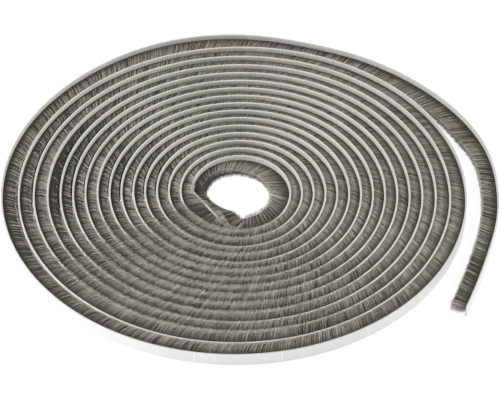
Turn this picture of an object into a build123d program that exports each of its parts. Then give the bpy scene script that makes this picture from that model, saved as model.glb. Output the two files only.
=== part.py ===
from build123d import *
import math
import os

# Self-adhesive brush seal strip, lying on the floor as a loose flat coil.
# Lengths in millimetres. The coil lies in XY with its axis on Z and its lower edge at Z 0.
# The strip stands on edge, with its woven backing outside and its pile pointing inwards.

# Section of the strip
strip_width = 9.5              # across the woven backing, so also the height of the coil
backing_thickness = 0.9        # weave with its adhesive film
liner_thickness = 0.3          # release liner on the outside of the backing
pile_length = 11.2             # free length of the fibres from the backing to their tips
pile_width = 6.6               # of the band of fibres, in the middle of the backing
pile_clearance = 0.45          # between the tips and the liner of the next turn inwards

# How the coil is wound, inwards and counter-clockwise from its outer end
turns = 15.72                  # from the direction of +X to the inner end
inner_radius = 29.4            # that an even coil would have at its inner end
turn_spacing = 8.5             # with the pile pressed short
slack_distance = 12.3          # further out of the outer turns, which are wound loosely
slack_turns = 2.0              # turns over which that slack fades
far_bulge_distance = 4.9       # of the first turn, at the side away from -Y
near_bulge_distance = 9.1      # of the inner turns towards -Y, where the inner end pushes them

# The outer end stands away from the coil; angles are around the axis from +X
outer_end_angle = -38.0        # where the strip starts
tail_distance = 9.6            # how far it stands off
tail_free_angle = 7.0          # up to where it stands off fully
tail_joins_angle = 54.0        # from where it lies on the coil
flick_distance = 10.3          # how much further the last stretch springs out
flick_angle = -16.0            # where that stretch starts
pinch_distance = 3.4           # how far the first turn dips in where the tail leaves it
pinch_angle = 71.0             # middle of that dip
pinch_spread_angle = 15.0      # to each side, over which the dip fades
rebound_distance = 1.7         # how far it bulges out again past the dip
rebound_angle = 110.0          # middle of that bulge
rebound_spread_angle = 18.0    # to each side, over which the bulge fades

# The inner end is a straight stretch across the hole
bend_turn = 15.518             # where the coil bends into it
bend_turns = 0.09              # turns that the bend takes
straight_angle = 303.0         # direction that the straight stretch runs in
end_spacing = 3.97             # between the backings, where the straight stretch ends by the next turn out
spring_start_angle = 10.0      # past the inner end, where pressed fibres start to spring out
spring_stop_angle = 22.0       # past the inner end, where they are at their free length

tip_rounding_distance = 1.0    # softens the change from free to pressed fibres
chord_height = 0.32            # of the curve over the straight runs that it is drawn with
least_runs = 4                 # in the short stretches, where the strip's shape changes quickly


def ease(x):
    """Goes smoothly from 0 to 1 as x does."""
    x = min(max(x, 0.0), 1.0)
    return x * x * (3 - 2 * x)


def coiled_radius(turn):
    """Distance of the backing from the axis, but for the strip's two ends."""
    inward = max(turn, 0.0)
    around = math.sin(2 * math.pi * inward)
    radius = inner_radius + turn_spacing * (turns - turn)
    radius += slack_distance * math.exp(-inward / slack_turns)
    radius += far_bulge_distance * max(0.0, 1 - inward) ** 2 * around
    radius += near_bulge_distance * inward / turns * ((1 - around) / 2) ** 3
    return radius


def centre_radius(turn):
    """Distance from the coil's axis to the middle of the backing."""
    angle = 360 * turn
    radius = coiled_radius(turn)
    radius += tail_distance * ease((tail_joins_angle - angle) / (tail_joins_angle - tail_free_angle))
    radius += flick_distance * (max(0.0, flick_angle - angle) / (flick_angle - outer_end_angle)) ** 2
    radius -= pinch_distance * math.exp(-((angle - pinch_angle) / pinch_spread_angle) ** 2)
    radius += rebound_distance * math.exp(-((angle - rebound_angle) / rebound_spread_angle) ** 2)
    bent = ease((turn - bend_turn) / bend_turns + 0.5)
    if bent > 0:
        # The straight stretch runs to its place beside the next turn out
        facing = straight_angle - 90
        end_radius = coiled_radius(turns - 1) - end_spacing
        line_distance = end_radius * math.cos(math.radians(360 * turns - facing))
        straight_radius = line_distance / math.cos(math.radians(angle - facing))
        radius += (straight_radius - radius) * bent
    return radius


def centre_point(turn):
    """Point in the middle of the backing, seen from above."""
    angle = 2 * math.pi * turn
    return Vector(math.cos(angle), math.sin(angle)) * centre_radius(turn)


def fibre_length(turn):
    """Length of the pile at a turn: free, or pressed short by the next turn inwards."""
    step = 1e-4
    inner = min(turn + 1, turns - step)
    next_radius = centre_radius(inner)
    rise = centre_radius(inner + step) - centre_radius(inner - step)
    slope = rise / (4 * math.pi * step * next_radius)
    reach = backing_thickness / 2 + liner_thickness + pile_clearance
    room = centre_radius(turn) - backing_thickness / 2 - next_radius - reach * (1 + slope ** 2)
    spring_angle = 360 * (turn - turns + 1) - spring_start_angle
    room += 2 * pile_length * ease(spring_angle / (spring_stop_angle - spring_start_angle))
    return (pile_length + room - math.hypot(pile_length - room, tip_rounding_distance)) / 2


def liner_face(turn):
    return -backing_thickness / 2 - liner_thickness


def outer_face(turn):
    return -backing_thickness / 2


def inner_face(turn):
    return backing_thickness / 2


def pile_tips(turn):
    return backing_thickness / 2 + fibre_length(turn)


def strip_point(turn, depth):
    """Point at a depth inwards from the middle of the backing, square to the strip."""
    step = 1e-4
    heading = (centre_point(turn + step) - centre_point(turn - step)).normalized()
    return centre_point(turn) + Vector(-heading.Y, heading.X) * depth(turn)


def strip_stations():
    """The turns where the straight runs of the curve meet."""
    bend_start, bend_stop = bend_turn - bend_turns / 2, bend_turn + bend_turns / 2
    half_turns = [number / 2 for number in range(1, math.floor(2 * bend_start) + 1)]
    changes = [outer_end_angle / 360, flick_angle / 360, tail_joins_angle / 360]
    changes += [turns - 1 + angle / 360 for angle in (0, spring_start_angle, spring_stop_angle)]
    changes += [bend_start, bend_stop]
    ends = sorted(half_turns + changes)
    stations = []
    for first, last in zip(ends, ends[1:]):
        radius = centre_radius((first + last) / 2)
        run = math.sqrt(8 * radius * chord_height) / (2 * math.pi * radius)
        count = max(least_runs, math.ceil((last - first) / run))
        stations += [first + (last - first) * number / count for number in range(count)]
    return stations + [bend_stop, turns]


def layer_outline(outside, inside):
    """One layer of the strip, seen from above."""
    stations = strip_stations()
    with BuildSketch() as outline:
        with BuildLine():
            there = [strip_point(turn, outside) for turn in stations]
            back = [strip_point(turn, inside) for turn in reversed(stations)]
            Polyline(*there, *back, close=True)
        make_face()
    return outline.sketch


os.makedirs("parts", exist_ok=True)

# The origin is on the floor, in the middle of the space that the coil and its tail take up
liner_outline = layer_outline(liner_face, outer_face)
middle = liner_outline.bounding_box().center()
floor = Plane((-middle.X, -middle.Y, 0))

# Woven backing, standing on its lower edge
with BuildPart() as backing_strip:
    with BuildSketch(floor):
        add(layer_outline(outer_face, inner_face))
    extrude(amount=strip_width)
backing_strip.part.label = "backing_strip"
export_step(backing_strip.part, "parts/backing_strip.step")

# Release liner, over the adhesive on the backing's outer face
with BuildPart() as release_liner:
    with BuildSketch(floor):
        add(liner_outline)
    extrude(amount=strip_width)
release_liner.part.label = "release_liner"
export_step(release_liner.part, "parts/release_liner.step")

# Pile, woven into the middle of the backing's inner face
with BuildPart() as pile:
    with BuildSketch(floor.offset((strip_width - pile_width) / 2)):
        add(layer_outline(inner_face, pile_tips))
    extrude(amount=pile_width)
pile.part.label = "pile"
export_step(pile.part, "parts/pile.step")
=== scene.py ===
import math

import bpy
import numpy as np
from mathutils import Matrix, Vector


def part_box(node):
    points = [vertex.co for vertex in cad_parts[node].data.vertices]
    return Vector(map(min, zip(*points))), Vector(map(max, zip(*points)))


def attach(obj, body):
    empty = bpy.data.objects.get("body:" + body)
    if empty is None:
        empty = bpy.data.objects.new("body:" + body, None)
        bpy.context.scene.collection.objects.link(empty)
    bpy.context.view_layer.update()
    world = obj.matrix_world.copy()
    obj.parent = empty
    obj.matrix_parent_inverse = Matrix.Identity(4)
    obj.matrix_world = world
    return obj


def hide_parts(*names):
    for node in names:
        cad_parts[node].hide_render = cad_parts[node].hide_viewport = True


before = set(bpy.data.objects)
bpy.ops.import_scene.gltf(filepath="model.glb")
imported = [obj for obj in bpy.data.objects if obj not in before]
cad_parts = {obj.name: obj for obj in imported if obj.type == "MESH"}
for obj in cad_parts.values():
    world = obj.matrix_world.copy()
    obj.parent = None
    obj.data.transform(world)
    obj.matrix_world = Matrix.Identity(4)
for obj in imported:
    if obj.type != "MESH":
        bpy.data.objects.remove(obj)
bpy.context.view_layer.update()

# Lengths in metres. The coil lies on the floor, and its strip stands on one edge with the pile inside.
MM = 0.001

# Section of the strip
STRIP_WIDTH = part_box("backing_strip")[1].z
BACKING_THICKNESS = 0.9 * MM
LINER_THICKNESS = 0.3 * MM
PILE_LENGTH = 11.2 * MM
PILE_CLEARANCE = 0.45 * MM

# How the coil is wound, inwards and counter-clockwise from its outer end
TURNS = 15.72
INNER_RADIUS = 29.4 * MM
TURN_SPACING = 8.5 * MM
SLACK_DISTANCE = 12.3 * MM
SLACK_TURNS = 2.0
FAR_BULGE_DISTANCE = 4.9 * MM
NEAR_BULGE_DISTANCE = 9.1 * MM

# The outer end, which stands away from the coil; angles in degrees around the axis from +X
OUTER_END_ANGLE = -38.0
TAIL_DISTANCE = 9.6 * MM
TAIL_FREE_ANGLE = 7.0
TAIL_JOINS_ANGLE = 54.0
FLICK_DISTANCE = 10.3 * MM
FLICK_ANGLE = -16.0
PINCH_DISTANCE = 3.4 * MM
PINCH_ANGLE = 71.0
PINCH_SPREAD_ANGLE = 15.0
REBOUND_DISTANCE = 1.7 * MM
REBOUND_ANGLE = 110.0
REBOUND_SPREAD_ANGLE = 18.0

# The inner end, a straight stretch across the hole
BEND_TURN = 15.518
BEND_TURNS = 0.09
STRAIGHT_ANGLE = 303.0
END_SPACING = 3.97 * MM
SPRING_START_ANGLE = 10.0
SPRING_STOP_ANGLE = 22.0
TIP_ROUNDING_DISTANCE = 1.0 * MM


def ease(x):
    """Goes smoothly from 0 to 1 as x does."""
    x = np.clip(x, 0.0, 1.0)
    return x * x * (3 - 2 * x)


def coiled_radius(turn):
    """Distance of the backing from the axis, but for the strip's two ends."""
    inward = np.maximum(turn, 0.0)
    around = np.sin(2 * math.pi * inward)
    radius = INNER_RADIUS + TURN_SPACING * (TURNS - turn)
    radius = radius + SLACK_DISTANCE * np.exp(-inward / SLACK_TURNS)
    radius += FAR_BULGE_DISTANCE * np.maximum(0.0, 1 - inward) ** 2 * around
    radius += NEAR_BULGE_DISTANCE * inward / TURNS * ((1 - around) / 2) ** 3
    return radius


def centre_radius(turn):
    """Distance from the coil's axis to the middle of the backing."""
    angle = 360 * turn
    radius = coiled_radius(turn)
    radius += TAIL_DISTANCE * ease((TAIL_JOINS_ANGLE - angle) / (TAIL_JOINS_ANGLE - TAIL_FREE_ANGLE))
    flicked = np.maximum(0.0, FLICK_ANGLE - angle) / (FLICK_ANGLE - OUTER_END_ANGLE)
    radius += FLICK_DISTANCE * flicked ** 2
    radius -= PINCH_DISTANCE * np.exp(-((angle - PINCH_ANGLE) / PINCH_SPREAD_ANGLE) ** 2)
    radius += REBOUND_DISTANCE * np.exp(-((angle - REBOUND_ANGLE) / REBOUND_SPREAD_ANGLE) ** 2)
    facing = STRAIGHT_ANGLE - 90
    end_radius = coiled_radius(TURNS - 1) - END_SPACING
    line_distance = end_radius * math.cos(math.radians(360 * TURNS - facing))
    bent = ease((turn - BEND_TURN) / BEND_TURNS + 0.5)
    straight_radius = line_distance / np.where(bent > 0, np.cos(np.radians(angle - facing)), 1.0)
    return radius + (straight_radius - radius) * bent


def pile_reach(turn):
    """How far the pile reaches in from the backing: freely, or up to the next turn inwards."""
    step = 1e-4
    inner = np.minimum(turn + 1, TURNS - step)
    next_radius = centre_radius(inner)
    rise = centre_radius(inner + step) - centre_radius(inner - step)
    slope = rise / (4 * math.pi * step * next_radius)
    clear = BACKING_THICKNESS / 2 + LINER_THICKNESS + PILE_CLEARANCE
    room = centre_radius(turn) - BACKING_THICKNESS / 2 - next_radius - clear * (1 + slope ** 2)
    spring_angle = 360 * (turn - TURNS + 1) - SPRING_START_ANGLE
    room += 2 * PILE_LENGTH * ease(spring_angle / (SPRING_STOP_ANGLE - SPRING_START_ANGLE))
    return (PILE_LENGTH + room - np.hypot(PILE_LENGTH - room, TIP_ROUNDING_DISTANCE)) / 2


class Strip:
    """Stations along the strip: where it is, which way it runs, and which way is inwards."""

    def __init__(self, turn):
        self.turn = turn
        step = 1e-5
        self.point = self.on_axis(turn)
        run = self.on_axis(turn + step) - self.on_axis(turn - step)
        self.heading = run / np.linalg.norm(run, axis=1, keepdims=True)
        self.inward = np.column_stack([-self.heading[:, 1], self.heading[:, 0]])
        steps = np.linalg.norm(np.diff(self.point, axis=0), axis=1)
        self.distance = np.concatenate([[0.0], np.cumsum(steps)])

    @staticmethod
    def on_axis(turn):
        radius = centre_radius(turn)
        angle = 2 * math.pi * turn
        return np.column_stack([np.cos(angle), np.sin(angle)]) * radius[:, None]


FINE_STATIONS = 40000               # that the strip's length is measured over


def even_strip(spacing):
    """Stations at an even spacing from the outer end to the inner end."""
    fine = Strip(np.linspace(OUTER_END_ANGLE / 360, TURNS, FINE_STATIONS))
    count = int(fine.distance[-1] / spacing)
    return Strip(np.interp(np.linspace(0, fine.distance[-1], count), fine.distance, fine.turn))


STATION_SPACING = 3.5 * MM
strip = even_strip(STATION_SPACING)
outer_line = strip.point - strip.inward * (BACKING_THICKNESS / 2 + LINER_THICKNESS)
liner_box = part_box("release_liner")
AXIS = np.array((liner_box[0] + liner_box[1]) / 2)[:2] - (outer_line.min(0) + outer_line.max(0)) / 2

# How the pile lies
FAR_ROOTS = 1.1 * MM                # from the backing's middle to the upper roots that show, away from -Y
NEAR_ROOTS = 3.4 * MM               # the same towards -Y, where pressed fibres swell up along the backing
LEFT_ROOTS = 0.9 * MM               # further, towards -X
LOWEST_TIPS = 0.8 * MM              # above the floor
FAR_SAG = 4.8 * MM                  # of the upper tips under the strip's edge, away from -Y
SAG_FADE = 1.2                      # power that the sag fades by, from there to -Y
FREE_SAG = 1.0 * MM                 # further, where nothing holds the tips
FREE_STRETCH = 0.26                 # of the fibres that stand free, straightened by their fall
FREE_START, FREE_STOP = 0.02, 0.06  # turns over which that comes in, past the outer end
SLOT_DISTANCE = 4.8 * MM            # that the upper tips end short of the next turn, on the far side
SLOT_ANGLE = 125.0                  # where they end shortest
THIN_ANGLE = 172.0                  # where the upper fibres stand thinnest
THINNED = 1.6                       # less crowded towards the top there
PRESSED_CROWDING = 2.0              # of the fibres towards the top of the pile
FREE_CROWDING = 0.9                 # the same where nothing holds the tips
HELD_SHARE = 0.2                    # of the pile's length, pressed away where the tips are fully held
LEAN_ANGLE = 16.0                   # in degrees, of the fibres along the strip
PRESSED_LEAN_ANGLE = 26.0           # further, for a pile that is pressed flat
OUTER_END_TURNS = 0.011             # over which the fibres stand straighter by a cut end
INNER_END_TURNS = 0.06              # the same at the inner end
COVER_RISE = 0.6 * MM               # over the strip's edge, where the tips lie over the next turn
OVERHANG = 3.0 * MM                 # of those tips past the pile's reach
CROWN = 0.8 * MM                    # bulge of the upper fibres between root and tip
FREE_CROWN = 0.4                    # share of it where nothing holds the tips
ROOT_INSET = 0.05 * MM              # of the roots into the backing
CORE_REACH = 0.93                   # of the pile's reach, so that loose tips hide the mass's end
CORE_DEPTH = 0.75 * MM              # of the mass under the surface that the upper fibres make
CORE_END_DEPTH = 2.2                # times as deep at its blunt end
CORE_INSET = 0.1 * MM               # of the mass into the backing

# How much the tips hide the next turn's edge, for each turn: at the side towards -X, and towards -Y
LEFT_COVER = (0.0, 0.2, 0.5, 0.0, 0.15, 0.3, 0.6, 0.3, 0.2, 0.35, 0.3, 0.3, 0.4, 0.5, 0.9)
NEAR_COVER = (0.1, 0.7, 0.35, 0.8, 0.9, 0.9, 0.9, 0.8, 0.8, 0.4, 0.8, 0.4, 0.8, 0.8, 0.8)
RIGHT_COVER = 0.15

# Where each cover holds, in parts of a turn from +X: none, left, left, both, both, near, right, none
COVER_PARTS = (0.32, 0.47, 0.53, 0.61, 0.69, 0.76, 0.88, 1.1)


def nearness(turn, angle):
    """How near a turn is to a direction around the axis: 1 there and 0 across from it."""
    away = 2 * math.pi * (turn - angle / 360)
    return (1 + np.cos(away)) / 2


class Pile:
    """How the pile lies at the stations of a strip."""

    def __init__(self, along):
        self.reach = pile_reach(along.turn)
        pressed = np.clip(1 - self.reach / PILE_LENGTH, 0, 1)
        held = ease(pressed / HELD_SHARE)
        far = (1 + np.sin(2 * math.pi * along.turn)) / 2
        left = (1 - np.cos(2 * math.pi * along.turn)) / 2
        self.cover = np.interp(along.turn, *zip(*cover_places()))
        self.root_half = FAR_ROOTS + (NEAR_ROOTS - FAR_ROOTS) * (1 - far) + LEFT_ROOTS * left * far
        sag = far ** SAG_FADE * (FAR_SAG + FREE_SAG * (1 - held)) * (1 - self.cover)
        top = STRIP_WIDTH - sag + COVER_RISE * self.cover
        self.middle = (top + LOWEST_TIPS) / 2
        self.half = (top - LOWEST_TIPS) / 2
        self.slot = SLOT_DISTANCE * nearness(along.turn, SLOT_ANGLE) ** 3 * (1 - self.cover)
        self.crown = CROWN * (FREE_CROWN + (1 - FREE_CROWN) * held)
        self.lean = np.tan(np.radians(LEAN_ANGLE + PRESSED_LEAN_ANGLE * pressed))
        self.lean *= ease((along.turn - OUTER_END_ANGLE / 360) / OUTER_END_TURNS)
        self.lean *= ease((TURNS - along.turn) / INNER_END_TURNS)
        thinned = THINNED * nearness(along.turn, THIN_ANGLE) ** 2 * (1 - self.cover)
        self.crowding = FREE_CROWDING + (PRESSED_CROWDING - thinned - FREE_CROWDING) * held
        self.reach += PILE_CLEARANCE * held
        freed = ease((along.turn - FREE_START) / (FREE_STOP - FREE_START))
        self.reach *= 1 + FREE_STRETCH * (1 - held) * freed


def cover_places():
    """The turns where the cover is given, and how much it is there."""
    places = []
    for number, (left, near) in enumerate(zip(LEFT_COVER, NEAR_COVER)):
        both = min(1.0, left + near)
        covers = (0.0, left, left, both, both, near, RIGHT_COVER, 0.0)
        places += [(number + part, cover) for part, cover in zip(COVER_PARTS, covers)]
    return places


def hex_colour(code):
    """Linear colour from an sRGB hex value."""
    channels = [int(code[i:i + 2], 16) / 255 for i in (0, 2, 4)]
    return (*[c / 12.92 if c <= 0.04045 else ((c + 0.055) / 1.055) ** 2.4 for c in channels], 1.0)


def add_node(tree, kind, inputs=None, **settings):
    """Adds a node with its settings, and gives its inputs a value or the output that they follow."""
    node = tree.nodes.new(kind)
    for name, value in settings.items():
        setattr(node, name, value)
    for key, value in (inputs or {}).items():
        if isinstance(value, bpy.types.NodeSocket):
            tree.links.new(value, node.inputs[key])
        else:
            node.inputs[key].default_value = value
    return node


def new_material(name):
    material = bpy.data.materials.new(name)
    material.use_nodes = True
    return material, material.node_tree, material.node_tree.nodes["Principled BSDF"]


# Looks of the strip. The "strip" UV map is in metres, along the strip and around its section.
TUFT_SPACING = 1.9 * MM
WAVE_PERIOD = math.pi / 10          # of Blender's wave texture at a scale of 1


def woven_polypropylene():
    """Off-white woven tape: dull, with a rib across it at every row of tufts and finer threads along it, and
    painted shade darkening the ribs' troughs.
    """
    material, tree, shader = new_material("woven_polypropylene")
    place = add_node(tree, "ShaderNodeUVMap", uv_map="strip").outputs["UV"]
    row_scale = WAVE_PERIOD / TUFT_SPACING
    rows = add_node(tree, "ShaderNodeMapping", {"Vector": place, "Scale": (row_scale, row_scale, 1)})
    ribs = add_node(tree, "ShaderNodeTexWave",
                    {"Vector": rows.outputs[0], "Scale": 1.0, "Distortion": 0.8, "Detail": 1.0},
                    wave_type="BANDS", bands_direction="X")
    # The threads are 0.25 mm apart on the real tape, and drawn at 0.6 mm so that they show
    thread_spacing = 0.6 * MM
    thread_scale = WAVE_PERIOD / thread_spacing
    fine = add_node(tree, "ShaderNodeMapping", {"Vector": place, "Scale": (thread_scale, thread_scale, 1)})
    threads = add_node(tree, "ShaderNodeTexWave",
                       {"Vector": fine.outputs[0], "Scale": 1.0, "Distortion": 1.0, "Detail": 0.0},
                       wave_type="BANDS", bands_direction="Y")
    patch_size = 25 * MM
    patches = add_node(tree, "ShaderNodeTexNoise", {"Vector": place, "Scale": 1 / patch_size, "Detail": 3.0})
    tint = add_node(tree, "ShaderNodeMix",
                    {0: patches.outputs["Fac"], 6: hex_colour("cbcac5"), 7: hex_colour("e2e1dc")},
                    data_type="RGBA")
    # Painted shade: the troughs between the ribs are drawn darker, following the same wave as the bump
    rib_troughs_painted_shade = add_node(tree, "ShaderNodeMix",
                     {0: ribs.outputs["Fac"], 6: hex_colour("cecdc8"), 7: hex_colour("ffffff")},
                     data_type="RGBA")
    colour = add_node(tree, "ShaderNodeMix", {0: 0.6, 6: tint.outputs[2], 7: rib_troughs_painted_shade.outputs[2]},
                      data_type="RGBA", blend_type="MULTIPLY")
    tree.links.new(colour.outputs[2], shader.inputs["Base Color"])
    weave = add_node(tree, "ShaderNodeMath", {0: threads.outputs["Fac"], 1: 0.12, 2: ribs.outputs["Fac"]},
                     operation="MULTIPLY_ADD")
    rib_height = 0.2 * MM
    bump = add_node(tree, "ShaderNodeBump",
                    {"Height": weave.outputs[0], "Distance": rib_height, "Strength": 0.8})
    tree.links.new(bump.outputs["Normal"], shader.inputs["Normal"])
    shader.inputs["Roughness"].default_value = 0.78
    return material


def release_film():
    """Siliconised polyethylene film: smooth and satin, faintly mottled, with a few soft creases across it
    that carry a painted highlight.
    """
    material, tree, shader = new_material("siliconised_release_film")
    place = add_node(tree, "ShaderNodeUVMap", uv_map="strip").outputs["UV"]
    mottle_size, mottle_width = 12 * MM, 50 * MM
    stretched = add_node(tree, "ShaderNodeMapping",
                         {"Vector": place, "Scale": (1 / mottle_size, 1 / mottle_width, 1)})
    mottle = add_node(tree, "ShaderNodeTexNoise",
                      {"Vector": stretched.outputs[0], "Scale": 1.0, "Detail": 4.0})
    # Creases lie about 85 mm apart and are about 1 mm wide
    crease_spacing, crease_width = 85 * MM, 1.0 * MM
    spread = add_node(tree, "ShaderNodeMapping", {"Vector": place, "Scale": (1 / crease_spacing, 1.0, 1)})
    across = add_node(tree, "ShaderNodeSeparateXYZ", {0: spread.outputs[0]})
    cells = add_node(tree, "ShaderNodeTexVoronoi", {"W": across.outputs["X"], "Scale": 1.0},
                     voronoi_dimensions="1D")
    crease_and_painted_highlight = add_node(tree, "ShaderNodeMapRange",
                      {"Value": cells.outputs["Distance"], "From Min": 0.0,
                       "From Max": crease_width / crease_spacing, "To Min": 1.0, "To Max": 0.0},
                      interpolation_type="SMOOTHSTEP")
    tint = add_node(tree, "ShaderNodeMix",
                    {0: mottle.outputs["Fac"], 6: hex_colour("dfe0df"), 7: hex_colour("ececea")},
                    data_type="RGBA")
    # Painted highlight: the film is drawn lighter along each raised crease
    colour = add_node(tree, "ShaderNodeMix",
                      {0: crease_and_painted_highlight.outputs[0], 6: tint.outputs[2], 7: hex_colour("f4f4f3")}, data_type="RGBA")
    tree.links.new(colour.outputs[2], shader.inputs["Base Color"])
    height = add_node(tree, "ShaderNodeMath", {0: crease_and_painted_highlight.outputs[0], 1: 1.5, 2: mottle.outputs["Fac"]},
                      operation="MULTIPLY_ADD")
    crease_height = 0.25 * MM
    bump = add_node(tree, "ShaderNodeBump",
                    {"Height": height.outputs[0], "Distance": crease_height, "Strength": 0.4})
    tree.links.new(bump.outputs["Normal"], shader.inputs["Normal"])
    shader.inputs["Roughness"].default_value = 0.42
    return material


def polypropylene_fibre():
    """Crimped grey-taupe fibres: soft and slightly warm, with painted shade that darkens them towards the
    roots, where they stand close.
    """
    material, tree, shader = new_material("polypropylene_fibre")
    along = add_node(tree, "ShaderNodeAttribute", attribute_name="along").outputs["Fac"]
    shade = add_node(tree, "ShaderNodeAttribute", attribute_name="shade").outputs["Fac"]
    tone = add_node(tree, "ShaderNodeMix", {0: shade, 6: hex_colour("807c71"), 7: hex_colour("e6e2d5")},
                    data_type="RGBA")
    # Painted shade: each fibre is drawn darker towards its root
    depth = add_node(tree, "ShaderNodeMix", {0: along, 6: hex_colour("b4b2ac"), 7: hex_colour("ffffff")},
                     data_type="RGBA")
    colour = add_node(tree, "ShaderNodeMix", {0: 1.0, 6: tone.outputs[2], 7: depth.outputs[2]},
                      data_type="RGBA", blend_type="MULTIPLY")
    tree.links.new(colour.outputs[2], shader.inputs["Base Color"])
    shader.inputs["Roughness"].default_value = 0.6
    shader.inputs["Sheen Weight"].default_value = 0.1
    return material


def dense_fibre_painted_shade():
    """The closed mass of fibres under the outer ones, drawn near black as painted shade for the deep pile,
    and streaked in the way that they run.
    """
    material, tree, shader = new_material("dense_fibre_mass_painted_shade")
    place = add_node(tree, "ShaderNodeUVMap", uv_map="strip").outputs["UV"]
    streak_spacing, streak_length = 0.8 * MM, 6 * MM
    streaks = add_node(tree, "ShaderNodeMapping",
                       {"Vector": place, "Scale": (1 / streak_spacing, 1 / streak_length, 1)})
    noise = add_node(tree, "ShaderNodeTexNoise", {"Vector": streaks.outputs[0], "Scale": 1.0, "Detail": 4.0})
    # Painted shade: the mass is coloured near black for the shade between the fibres, with streaks along them
    colour = add_node(tree, "ShaderNodeMix",
                      {0: noise.outputs["Fac"], 6: hex_colour("1b1916"), 7: hex_colour("4a4740")},
                      data_type="RGBA")
    tree.links.new(colour.outputs[2], shader.inputs["Base Color"])
    streak_height = 0.4 * MM
    bump = add_node(tree, "ShaderNodeBump",
                    {"Height": noise.outputs["Fac"], "Distance": streak_height, "Strength": 0.8})
    tree.links.new(bump.outputs["Normal"], shader.inputs["Normal"])
    shader.inputs["Roughness"].default_value = 0.9
    return material


CREASE_ANGLE = math.radians(30)     # from which an edge is left sharp


def ribbon(name, along, outline, material):
    """A closed solid along the strip. The outline gives (depth, height) points at each station."""
    stations, sides = outline.shape[:2]
    flat = along.point[:, None, :] + along.inward[:, None, :] * outline[:, :, :1] + AXIS
    points = np.concatenate([flat, outline[:, :, 1:]], axis=2).reshape(-1, 3)
    here = np.arange(stations - 1)[:, None] * sides + np.arange(sides)[None, :]
    beside = np.arange(stations - 1)[:, None] * sides + (np.arange(sides)[None, :] + 1) % sides
    quads = np.stack([here, beside, beside + sides, here + sides], axis=2).reshape(-1, 4)
    caps = [list(range(sides))[::-1], list(range((stations - 1) * sides, stations * sides))]
    mesh = bpy.data.meshes.new(name)
    mesh.from_pydata(points.tolist(), [], quads.tolist() + caps)
    closed = np.concatenate([outline[0], outline[0, :1]])
    around = np.concatenate([[0.0], np.cumsum(np.linalg.norm(np.diff(closed, axis=0), axis=1))])
    shape = (stations - 1, sides)
    u_first, u_last = (np.broadcast_to(u[:, None], shape) for u in (along.distance[:-1], along.distance[1:]))
    v_first, v_last = (np.broadcast_to(v[None, :], shape) for v in (around[:-1], around[1:]))
    corners = [(u_first, v_first), (u_first, v_last), (u_last, v_last), (u_last, v_first)]
    body = np.stack([np.stack(corner, axis=2) for corner in corners], axis=2).reshape(-1, 2)
    ends = [outline[0, ::-1], outline[-1] + (along.distance[-1], 0)]
    mesh.uv_layers.new(name="strip").data.foreach_set(
        "uv", np.concatenate([body, *ends]).astype(np.float32).ravel())
    mesh.materials.append(material)
    mesh.shade_smooth()
    mesh.set_sharp_from_angle(angle=CREASE_ANGLE)
    mesh.update()
    piece = bpy.data.objects.new(name, mesh)
    bpy.context.scene.collection.objects.link(piece)
    return piece


def layer_outline(along, near, far, low, high, rounding):
    """A flat layer's outline, with its corners cut, the same at every station."""
    corners = [(near + rounding, low), (far - rounding, low),
               (far, low + rounding), (far, high - rounding),
               (far - rounding, high), (near + rounding, high),
               (near, high - rounding), (near, low + rounding)]
    return np.repeat(np.array(corners)[None], len(along.turn), axis=0)


def core_outline(along, lie):
    """A wedge that follows the pile's surface from the roots and ends blunt, short of the fibres' tips."""
    root = BACKING_THICKNESS / 2 - CORE_INSET
    part_ways = (0.0, 0.3, 0.6, 0.9, 1.0)
    upper, lower = [], []
    for part in part_ways:
        depth = root + lie.reach * CORE_REACH * part
        upper_depth = depth - lie.slot * part
        bulge = 4 * lie.crown * part * (1 - part)
        under = CORE_DEPTH * (CORE_END_DEPTH if part == part_ways[-1] else 1.0)
        half = lie.root_half + (lie.half - lie.root_half) * part + bulge - under
        middle = STRIP_WIDTH / 2 + (lie.middle - STRIP_WIDTH / 2) * part
        lower.append(np.column_stack([depth, middle - half]))
        upper.append(np.column_stack([upper_depth, middle + half]))
    return np.stack(lower + upper[::-1], axis=1)


LINER_INSET = 0.05 * MM             # of the liner from the backing's edges
BACKING_ROUNDING = 0.25 * MM
LINER_ROUNDING = 0.1 * MM
outer_face, inner_face = -BACKING_THICKNESS / 2, BACKING_THICKNESS / 2
backing = ribbon("woven_backing", strip,
                 layer_outline(strip, outer_face, inner_face, 0.0, STRIP_WIDTH, BACKING_ROUNDING),
                 woven_polypropylene())
liner = ribbon("release_film", strip,
               layer_outline(strip, outer_face - LINER_THICKNESS, outer_face,
                             LINER_INSET, STRIP_WIDTH - LINER_INSET, LINER_ROUNDING),
               release_film())
covered = slice(1, -1)               # the mass starts a station in from each cut end, so that fibres hide it
inner_strip = Strip(strip.turn[covered])
core = ribbon("pile_mass", inner_strip, core_outline(inner_strip, Pile(inner_strip)), dense_fibre_painted_shade())


# What the root line carries to its fibres, by kind
CARRIED = {"FLOAT_VECTOR": ("heading", "inward", "middle_tip"),
           "FLOAT": ("fan", "cover", "crown", "root_half", "slot", "crowding")}

# Heights in the fan, from -1 to 1
LYING_OVER = (0.3, 0.7)             # between which the tips come to lie over the next turn
ENDING_SHORT = (-0.8, 0.4)          # between which they come to end short of it, where there is a slot

ROLL = 2.6                          # the most that a fibre's flat side turns up, for 1 along the strip

# Parts of a fibre's shade, from dark at 0 to light at 1
LEAST_SHADE = 0.3
PATCH_SHADE = 0.4
LOCK_SHADE = 0.14
OWN_SHADE = 0.3
PATCH_SIZE = 20 * MM


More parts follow.
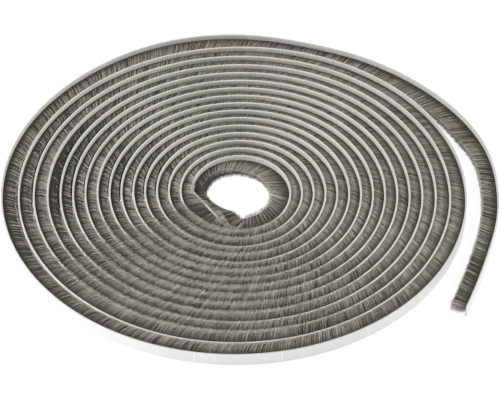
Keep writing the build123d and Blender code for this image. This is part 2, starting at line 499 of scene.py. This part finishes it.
def fibre_blade():
    """One fibre of unit length along Z: a blade of three triangles that thins a little towards its tip."""
    middle, tip = 0.5, 0.38
    points = [(0, 0, 0), (middle, 0, 0.5), (-middle, 0, 0.5), (tip, 0, 1), (-tip, 0, 1)]
    mesh = bpy.data.meshes.new("fibre")
    mesh.from_pydata(points, [], [(0, 1, 2), (2, 1, 3, 4)])
    mesh.attributes.new("along", "FLOAT", "POINT").data.foreach_set("value", [point[2] for point in points])
    blade = bpy.data.objects.new("fibre", mesh)
    bpy.context.scene.collection.objects.link(blade)
    return blade


def pile_tree():
    """Roots locks of fibres along a line that carries how the pile lies, and points them as it says."""
    tree = bpy.data.node_groups.new("locks_along_root_line", "GeometryNodeTree")
    sockets = [("Root line", "NodeSocketGeometry"), ("Fibre", "NodeSocketObject"),
               ("Fibre width", "NodeSocketFloat"), ("Lock spacing", "NodeSocketFloat"),
               ("Fibres in a lock", "NodeSocketInt"),
               ("Overhang", "NodeSocketFloat"), ("Bend", "NodeSocketFloat"),
               ("Fibre root spread", "NodeSocketVector"), ("Fibre tip spread", "NodeSocketVector"),
               ("Lock root spread", "NodeSocketVector"), ("Lock tip spread", "NodeSocketVector"),
               ("Seed", "NodeSocketInt"), ("Material", "NodeSocketMaterial")]
    for name, kind in sockets:
        tree.interface.new_socket(name=name, in_out="INPUT", socket_type=kind)
    tree.interface.new_socket(name="Pile", in_out="OUTPUT", socket_type="NodeSocketGeometry")
    given = add_node(tree, "NodeGroupInput").outputs

    # A point for each fibre, which knows its lock
    line = add_node(tree, "GeometryNodeMeshToCurve", {"Mesh": given["Root line"]})
    even = add_node(tree, "GeometryNodeResampleCurve",
                    {"Curve": line.outputs[0], "Length": given["Lock spacing"]}, mode="LENGTH")
    locks = add_node(tree, "GeometryNodeCurveToPoints", {"Curve": even.outputs[0]}, mode="EVALUATED")
    number = add_node(tree, "GeometryNodeInputIndex")
    numbered = add_node(tree, "GeometryNodeStoreNamedAttribute",
                        {"Geometry": locks.outputs["Points"], "Name": "lock", "Value": number.outputs[0]},
                        data_type="INT", domain="POINT")
    fibres = add_node(tree, "GeometryNodeDuplicateElements",
                      {"Geometry": numbered.outputs[0], "Amount": given["Fibres in a lock"]}, domain="POINT")
    lock = add_node(tree, "GeometryNodeInputNamedAttribute", {"Name": "lock"}, data_type="INT")
    carried = {}
    for kind, names in CARRIED.items():
        for name in names:
            read = add_node(tree, "GeometryNodeInputNamedAttribute", {"Name": name}, data_type=kind)
            carried[name] = read.outputs[0]

    # Chances of its own and of its lock, each from -1 to 1
    seeds = [add_node(tree, "ShaderNodeMath", {0: given["Seed"], 1: float(step)}, operation="ADD").outputs[0]
             for step in range(6)]
    low, high = (-1.0, -1.0, -1.0), (1.0, 1.0, 1.0)
    own = add_node(tree, "FunctionNodeRandomValue", {0: low, 1: high, "Seed": seeds[0]},
                   data_type="FLOAT_VECTOR")
    shared = add_node(tree, "FunctionNodeRandomValue",
                      {0: low, 1: high, "ID": lock.outputs[0], "Seed": seeds[1]}, data_type="FLOAT_VECTOR")
    own_shade = add_node(tree, "FunctionNodeRandomValue", {2: -1.0, 3: 1.0, "Seed": seeds[2]},
                         data_type="FLOAT")
    lock_shade = add_node(tree, "FunctionNodeRandomValue",
                          {2: -1.0, 3: 1.0, "ID": lock.outputs[0], "Seed": seeds[3]}, data_type="FLOAT")
    roll = add_node(tree, "FunctionNodeRandomValue", {2: -ROLL, 3: ROLL, "Seed": seeds[4]}, data_type="FLOAT")
    place = add_node(tree, "GeometryNodeInputPosition")
    patch = add_node(tree, "ShaderNodeTexNoise",
                     {"Vector": place.outputs[0], "Scale": 1 / PATCH_SIZE, "Detail": 2.0})

    # Height in the fan, from -1 to 1: where the pile is pressed, most fibres are near the top
    chance = add_node(tree, "FunctionNodeRandomValue", {2: 0.0, 3: 1.0, "Seed": seeds[5]}, data_type="FLOAT")
    crowded = add_node(tree, "ShaderNodeMath", {0: chance.outputs[1], 1: carried["crowding"]},
                       operation="POWER")
    height = add_node(tree, "ShaderNodeMath", {0: crowded.outputs[0], 1: -2.0, 2: 1.0},
                      operation="MULTIPLY_ADD")

    # Its root and tip: sideways along the strip, inwards and up
    root_height = add_node(tree, "ShaderNodeMath", {0: height.outputs[0], 1: carried["root_half"]},
                           operation="MULTIPLY")
    root = add_node(tree, "ShaderNodeCombineXYZ", {2: root_height.outputs[0]})
    root = add_node(tree, "ShaderNodeVectorMath",
                    {0: own.outputs[0], 1: given["Fibre root spread"], 2: root.outputs[0]},
                    operation="MULTIPLY_ADD")
    root = add_node(tree, "ShaderNodeVectorMath",
                    {0: shared.outputs[0], 1: given["Lock root spread"], 2: root.outputs[0]},
                    operation="MULTIPLY_ADD")
    lying_over = add_node(tree, "ShaderNodeMapRange",
                          {"Value": height.outputs[0], "From Min": LYING_OVER[0], "From Max": LYING_OVER[1],
                           "To Min": 0.0, "To Max": given["Overhang"]})
    past = add_node(tree, "ShaderNodeMath", {0: lying_over.outputs[0], 1: carried["cover"]},
                    operation="MULTIPLY")
    ending_short = add_node(tree, "ShaderNodeMapRange",
                            {"Value": height.outputs[0], "From Min": ENDING_SHORT[0],
                             "From Max": ENDING_SHORT[1], "To Min": 0.0, "To Max": carried["slot"]})
    past = add_node(tree, "ShaderNodeMath", {0: past.outputs[0], 1: ending_short.outputs[0]},
                    operation="SUBTRACT")
    rise = add_node(tree, "ShaderNodeMath", {0: height.outputs[0], 1: carried["fan"]}, operation="MULTIPLY")
    tip = add_node(tree, "ShaderNodeCombineXYZ", {1: past.outputs[0], 2: rise.outputs[0]})
    tip = add_node(tree, "ShaderNodeVectorMath", {0: tip.outputs[0], 1: carried["middle_tip"]},
                   operation="ADD")
    tip = add_node(tree, "ShaderNodeVectorMath",
                   {0: own.outputs[0], 1: given["Fibre tip spread"], 2: tip.outputs[0]},
                   operation="MULTIPLY_ADD")
    tip = add_node(tree, "ShaderNodeVectorMath",
                   {0: shared.outputs[0], 1: given["Lock tip spread"], 2: tip.outputs[0]},
                   operation="MULTIPLY_ADD")

    # The fibre stands on its root, turned to its tip
    strip_turn = add_node(tree, "FunctionNodeAxesToRotation",
                          {"Primary Axis": carried["heading"], "Secondary Axis": carried["inward"]},
                          primary_axis="X", secondary_axis="Y")
    root_offset = add_node(tree, "FunctionNodeRotateVector",
                           {"Vector": root.outputs[0], "Rotation": strip_turn.outputs[0]})
    tip_offset = add_node(tree, "FunctionNodeRotateVector",
                          {"Vector": tip.outputs[0], "Rotation": strip_turn.outputs[0]})
    rooted = add_node(tree, "GeometryNodeSetPosition",
                      {"Geometry": fibres.outputs[0], "Offset": root_offset.outputs[0]})
    upward = add_node(tree, "ShaderNodeCombineXYZ", {2: roll.outputs[1]})
    flat_side = add_node(tree, "ShaderNodeVectorMath", {0: carried["heading"], 1: upward.outputs[0]},
                         operation="ADD")
    fibre_turn = add_node(tree, "FunctionNodeAxesToRotation",
                          {"Primary Axis": tip_offset.outputs[0], "Secondary Axis": flat_side.outputs[0]},
                          primary_axis="Z", secondary_axis="X")
    length = add_node(tree, "ShaderNodeVectorMath", {0: tip_offset.outputs[0]}, operation="LENGTH")
    size = add_node(tree, "ShaderNodeCombineXYZ",
                    {0: given["Fibre width"], 1: length.outputs["Value"], 2: length.outputs["Value"]})
    fibre = add_node(tree, "GeometryNodeObjectInfo", {"Object": given["Fibre"]}, transform_space="ORIGINAL")
    placed = add_node(tree, "GeometryNodeInstanceOnPoints",
                      {"Points": rooted.outputs[0], "Instance": fibre.outputs["Geometry"],
                       "Rotation": fibre_turn.outputs[0], "Scale": size.outputs[0]})

    # Its shade, from its patch of the strip, its lock and itself
    shade = add_node(tree, "ShaderNodeMath", {0: patch.outputs["Fac"], 1: PATCH_SHADE, 2: LEAST_SHADE},
                     operation="MULTIPLY_ADD")
    shade = add_node(tree, "ShaderNodeMath", {0: lock_shade.outputs[1], 1: LOCK_SHADE, 2: shade.outputs[0]},
                     operation="MULTIPLY_ADD")
    shade = add_node(tree, "ShaderNodeMath", {0: own_shade.outputs[1], 1: OWN_SHADE, 2: shade.outputs[0]},
                     operation="MULTIPLY_ADD")
    shaded = add_node(tree, "GeometryNodeStoreNamedAttribute",
                      {"Geometry": placed.outputs[0], "Name": "shade", "Value": shade.outputs[0]},
                      data_type="FLOAT", domain="INSTANCE")

    # Its bow: it leaves the backing squarely before it leans, and the upper ones bulge up
    lean = add_node(tree, "ShaderNodeSeparateXYZ", {0: carried["middle_tip"]})
    straighter = add_node(tree, "ShaderNodeMath", {0: lean.outputs["X"], 1: given["Bend"]},
                          operation="MULTIPLY")
    back = add_node(tree, "ShaderNodeMath", {0: straighter.outputs[0], 1: -1.0}, operation="MULTIPLY")
    upper = add_node(tree, "ShaderNodeMath", {0: height.outputs[0], 1: 0.0}, operation="MAXIMUM")
    bulge = add_node(tree, "ShaderNodeMath", {0: carried["crown"], 1: upper.outputs[0]}, operation="MULTIPLY")
    # The part of the way below is a quarter at most, and this brings the bulge to its full height
    bulge = add_node(tree, "ShaderNodeMath", {0: bulge.outputs[0], 1: 4.0}, operation="MULTIPLY")
    bow = add_node(tree, "ShaderNodeCombineXYZ", {0: back.outputs[0], 2: bulge.outputs[0]})
    bow = add_node(tree, "FunctionNodeRotateVector",
                   {"Vector": bow.outputs[0], "Rotation": strip_turn.outputs[0]})
    bowed = add_node(tree, "GeometryNodeStoreNamedAttribute",
                     {"Geometry": shaded.outputs[0], "Name": "bow", "Value": bow.outputs[0]},
                     data_type="FLOAT_VECTOR", domain="INSTANCE")
    real = add_node(tree, "GeometryNodeRealizeInstances", {"Geometry": bowed.outputs[0]})
    along = add_node(tree, "GeometryNodeInputNamedAttribute", {"Name": "along"}, data_type="FLOAT")
    kept_bow = add_node(tree, "GeometryNodeInputNamedAttribute", {"Name": "bow"}, data_type="FLOAT_VECTOR")
    from_tip = add_node(tree, "ShaderNodeMath", {0: 1.0, 1: along.outputs[0]}, operation="SUBTRACT")
    part_way = add_node(tree, "ShaderNodeMath", {0: along.outputs[0], 1: from_tip.outputs[0]},
                        operation="MULTIPLY")
    offset = add_node(tree, "ShaderNodeVectorMath", {0: kept_bow.outputs[0], "Scale": part_way.outputs[0]},
                      operation="SCALE")
    bent = add_node(tree, "GeometryNodeSetPosition",
                    {"Geometry": real.outputs[0], "Offset": offset.outputs[0]})
    finished = add_node(tree, "GeometryNodeSetMaterial",
                        {"Geometry": bent.outputs[0], "Material": given["Material"]})
    add_node(tree, "NodeGroupOutput", {0: finished.outputs[0]})
    return tree


def root_line(name, along):
    """The line of the fibres' roots, carrying how the pile lies at each place."""
    lie = Pile(along)
    level = np.zeros(len(along.turn))
    flat = along.point + along.inward * (BACKING_THICKNESS / 2 - ROOT_INSET) + AXIS
    mesh = bpy.data.meshes.new(name)
    mesh.from_pydata(np.column_stack([flat, level + STRIP_WIDTH / 2]).tolist(),
                     [(i, i + 1) for i in range(len(flat) - 1)], [])
    vectors = {"heading": np.column_stack([along.heading, level]),
               "inward": np.column_stack([along.inward, level]),
               "middle_tip": np.column_stack([lie.reach * lie.lean, lie.reach, lie.middle - STRIP_WIDTH / 2])}
    for attribute, values in vectors.items():
        kept = mesh.attributes.new(attribute, "FLOAT_VECTOR", "POINT")
        kept.data.foreach_set("vector", values.astype("f").ravel())
    numbers = {"fan": lie.half - lie.root_half, "cover": lie.cover, "crown": lie.crown,
               "root_half": lie.root_half, "slot": lie.slot, "crowding": lie.crowding}
    for attribute, values in numbers.items():
        kept = mesh.attributes.new(attribute, "FLOAT", "POINT")
        kept.data.foreach_set("value", values.astype("f"))
    line = bpy.data.objects.new(name, mesh)
    bpy.context.scene.collection.objects.link(line)
    return line


# What only the growing needs
GROWING_ATTRIBUTES = (*CARRIED["FLOAT_VECTOR"], *CARRIED["FLOAT"], "lock", "bow")


def grown(name, line, tree, values):
    """The plain mesh that a tree makes from a line, which it replaces."""
    modifier = line.modifiers.new("tree", "NODES")
    modifier.node_group = tree
    for item in tree.interface.items_tree:
        if item.name in values:
            modifier[item.identifier] = values[item.name]
    graph = bpy.context.evaluated_depsgraph_get()
    mesh = bpy.data.meshes.new_from_object(line.evaluated_get(graph), depsgraph=graph)
    mesh.name = name
    for attribute in GROWING_ATTRIBUTES:
        if attribute in mesh.attributes:
            mesh.attributes.remove(mesh.attributes[attribute])
    line.modifiers.remove(modifier)
    bpy.data.objects.remove(line)
    piece = bpy.data.objects.new(name, mesh)
    bpy.context.scene.collection.objects.link(piece)
    return piece


STRETCHES = 5
LOCK_SPACING = TUFT_SPACING / 2     # each tuft parts into two locks
FIBRES_IN_LOCK = 26
FIBRE_SIZES = {"Fibre width": 0.24 * MM, "Lock spacing": LOCK_SPACING, "Fibres in a lock": FIBRES_IN_LOCK,
               "Overhang": OVERHANG, "Bend": 0.35,
               "Fibre root spread": (0.55 * MM, 0.0, 0.1 * MM),
               "Fibre tip spread": (0.5 * MM, 0.4 * MM, 0.3 * MM),
               "Lock root spread": (0.1 * MM, 0.0, 0.1 * MM),
               "Lock tip spread": (0.35 * MM, 0.3 * MM, 0.15 * MM)}
SEED_STEP = 10                      # from one stretch to the next, more than the seeds that a tree uses
tree = pile_tree()
blade = fibre_blade()
fibre_finish = polypropylene_fibre()
last_station = len(strip.turn) - 1
tufted = []
for number in range(STRETCHES):
    first, last = number * last_station // STRETCHES, (number + 1) * last_station // STRETCHES
    line = root_line(f"roots_{number + 1}", Strip(strip.turn[first:last + 1]))
    values = {**FIBRE_SIZES, "Fibre": blade, "Seed": SEED_STEP * number, "Material": fibre_finish}
    tufted.append(grown(f"pile_fibres_{number + 1}", line, tree, values))
bpy.data.objects.remove(blade)

for piece in [backing, liner, core, *tufted]:
    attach(piece, "root")
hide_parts("backing_strip")
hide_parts("release_liner")
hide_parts("pile")

# The studio: white paper that keeps the coil's shadow, and soft light from both sides and low from the front
FLOOR_SIZE = 6.0
bpy.ops.mesh.primitive_plane_add(size=FLOOR_SIZE)
floor = bpy.context.object
floor.name = "floor"
paper, tree, shader = new_material("white_paper")
tree.nodes.remove(shader)
rays = add_node(tree, "ShaderNodeLightPath").outputs
seen = add_node(tree, "ShaderNodeMath", {0: rays["Is Camera Ray"], 1: rays["Is Glossy Ray"]},
                operation="MAXIMUM")
seen = add_node(tree, "ShaderNodeMath", {0: seen.outputs[0], 1: rays["Is Transmission Ray"]},
                operation="MAXIMUM")
lit = add_node(tree, "ShaderNodeBsdfDiffuse", {"Color": hex_colour("e6e6e6")})
faint = add_node(tree, "ShaderNodeBsdfDiffuse", {"Color": (0.13, 0.13, 0.13, 1)})
glow = add_node(tree, "ShaderNodeEmission", {"Color": (1, 1, 1, 1), "Strength": 0.92})
white = add_node(tree, "ShaderNodeAddShader", {0: faint.outputs[0], 1: glow.outputs[0]})
shown = add_node(tree, "ShaderNodeMixShader", {0: seen.outputs[0], 1: lit.outputs[0], 2: white.outputs[0]})
tree.links.new(shown.outputs[0], tree.nodes["Material Output"].inputs["Surface"])
floor.data.materials.append(paper)

world = bpy.data.worlds.new("studio")
bpy.context.scene.world = world
world.use_nodes = True
tree = world.node_tree
rays = add_node(tree, "ShaderNodeLightPath").outputs
fill = add_node(tree, "ShaderNodeBackground", {"Color": (1, 1, 1, 1), "Strength": 0.35})
backdrop = add_node(tree, "ShaderNodeBackground", {"Color": (1, 1, 1, 1), "Strength": 1.0})
shown = add_node(tree, "ShaderNodeMixShader",
                 {0: rays["Is Camera Ray"], 1: fill.outputs[0], 2: backdrop.outputs[0]})
tree.links.new(shown.outputs[0], tree.nodes["World Output"].inputs["Surface"])


def softbox(name, place, size, watts):
    """A square lamp that faces the coil."""
    lamp = bpy.data.lights.new(name, "AREA")
    lamp.size = size
    lamp.energy = watts
    holder = bpy.data.objects.new(name, lamp)
    holder.location = place
    holder.rotation_euler = (-Vector(place)).to_track_quat("-Z", "Y").to_euler()
    bpy.context.scene.collection.objects.link(holder)


softbox("left", (-1.2, 0.0, 0.75), 0.6, 15)
softbox("right", (1.2, 0.3, 0.75), 0.6, 14)
softbox("front", (-0.2, -1.6, 0.35), 0.7, 9)

# The camera looks along +Y and down, from where the photograph was taken
CAMERA_DISTANCE = 1.6307
CAMERA_ELEVATION = math.radians(42.44)
SENSOR_WIDTH = 36.0                 # in millimetres, as a camera's data has it
LENS = 165.6                        # focal length, in millimetres too
AIM_FROM_AXIS = Vector((0.00844, -0.01418, STRIP_WIDTH))
aim = AIM_FROM_AXIS + Vector((*AXIS, 0))
camera_data = bpy.data.cameras.new("camera")
camera_data.sensor_width = SENSOR_WIDTH
camera_data.lens = LENS
camera_data.clip_end = 20
camera = bpy.data.objects.new("camera", camera_data)
camera.location = aim + CAMERA_DISTANCE * Vector((0, -math.cos(CAMERA_ELEVATION), math.sin(CAMERA_ELEVATION)))
camera.rotation_euler = (math.pi / 2 - CAMERA_ELEVATION, 0, 0)
bpy.context.scene.collection.objects.link(camera)
bpy.context.scene.camera = camera
bpy.context.scene.view_settings.view_transform = "Standard"
